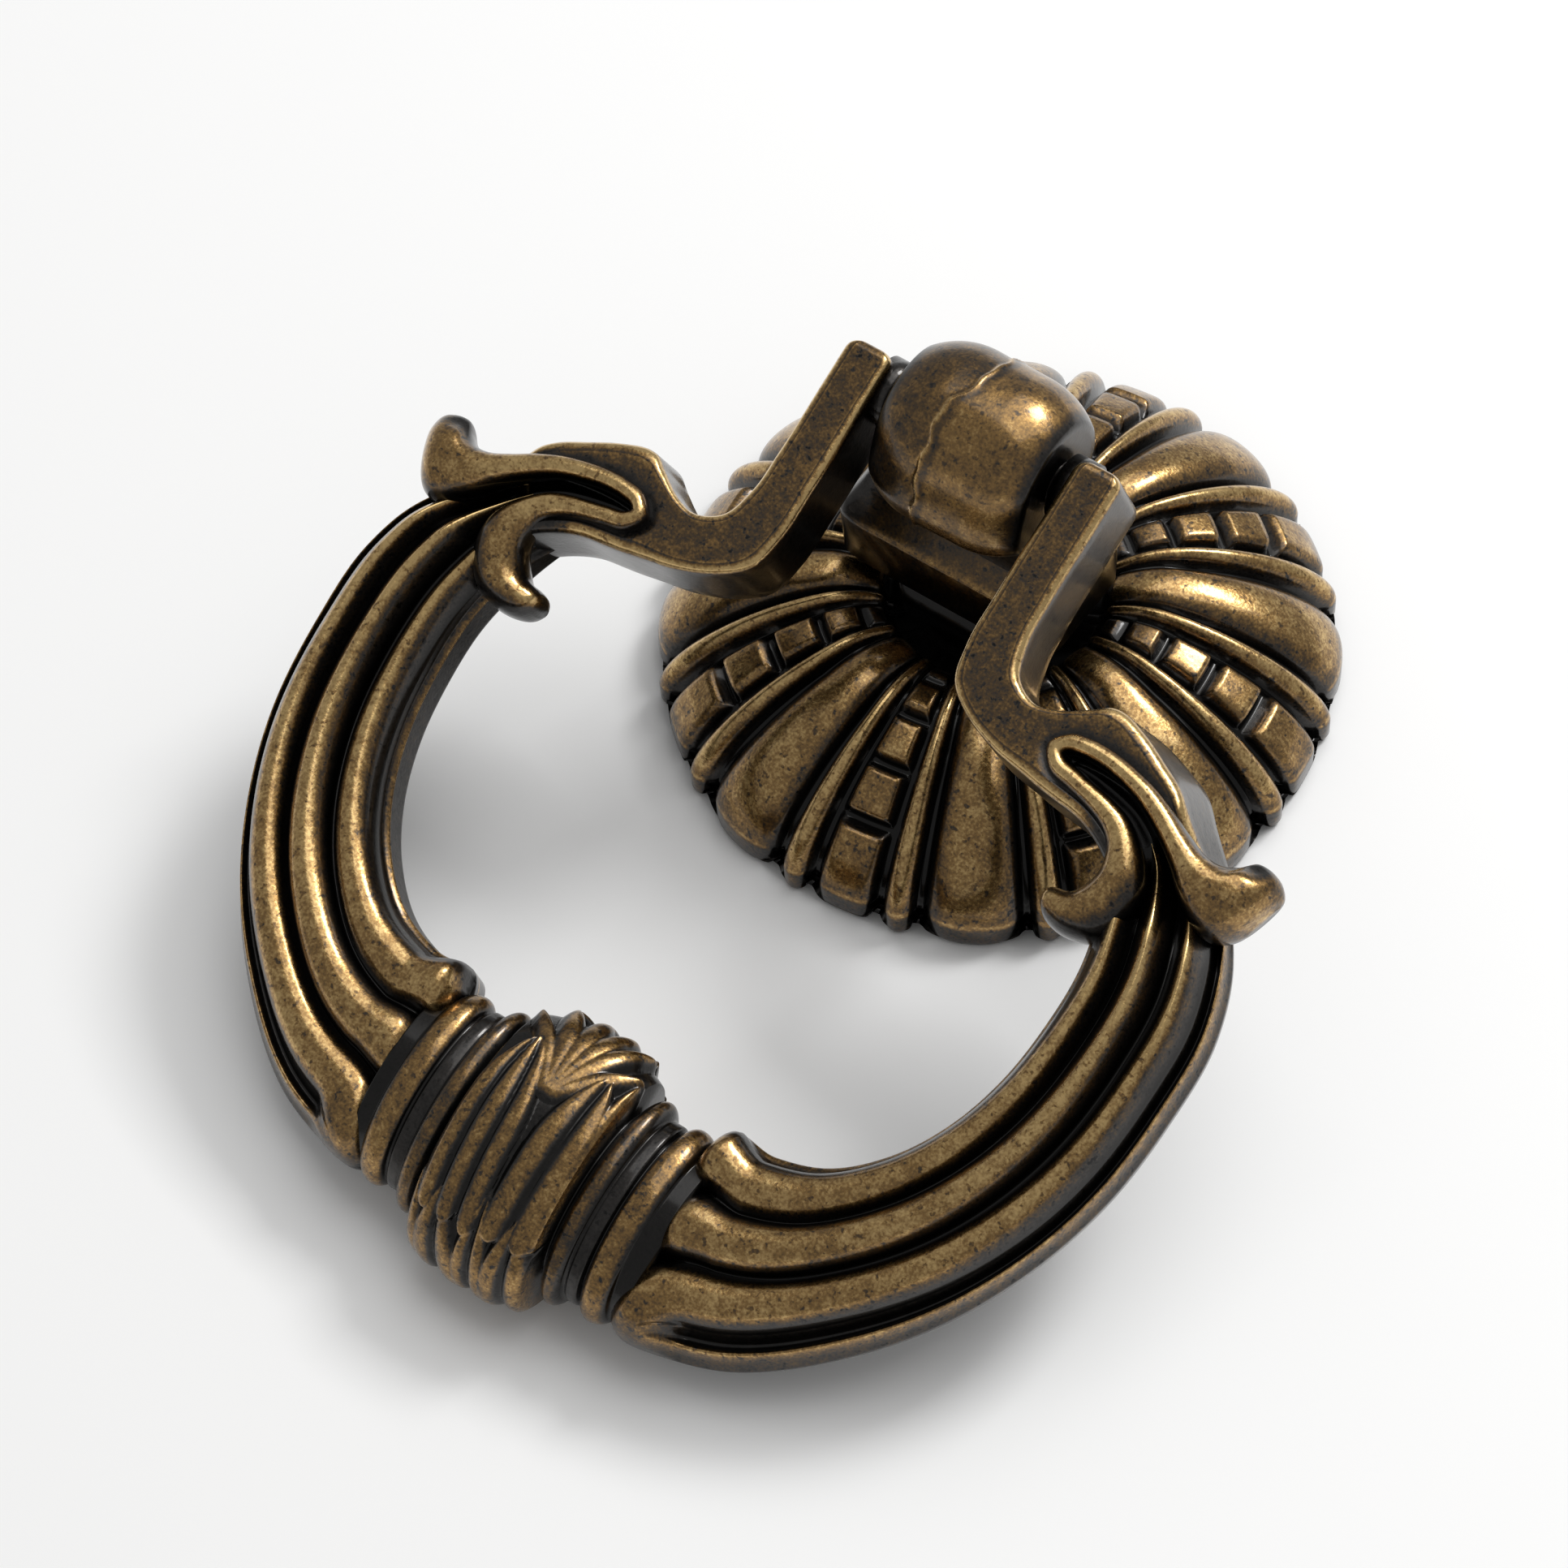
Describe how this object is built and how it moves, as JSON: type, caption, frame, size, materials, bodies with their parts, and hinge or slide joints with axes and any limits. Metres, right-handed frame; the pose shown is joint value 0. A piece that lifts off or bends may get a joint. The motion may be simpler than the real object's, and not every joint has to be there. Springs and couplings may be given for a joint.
{
  "type": "ring pull cabinet knob",
  "caption": "Cabinet ring pull in aged brass: a fluted ring with scrolled shoulders and a leaf-wrapped collar swings from a barrel-headed post on a domed, ribbed rosette.",
  "frame": {"origin": "centre of the rosette's back face, on the axis of the fixing screw", "axes": "+Z out of the drawer face along the fixing screw, +X along the ring's pivot, the ring lies towards -Y at rest"},
  "size_m": [0.0626, 0.0783, 0.0292],
  "materials": {
    "rosette_brass": "aged, dark in the grooves, worn bright on the crests",
    "post_brass": "aged, speckled, worn bright on the edges",
    "bail_brass": "aged, dark in the flutes, worn bright on the ridges"
  },
  "bodies": {
    "base": {"rosette": "rosette_brass", "post": "post_brass"},
    "ring": {"bail": "bail_brass"}
  },
  "joints": [
    {"name": "bail_swing", "type": "hinge", "parent": "base", "child": "ring", "pos_m": [0, -0.0011, 0.0238], "axis": [-1, 0, 0], "range_deg": [0, 220]}
  ]
}
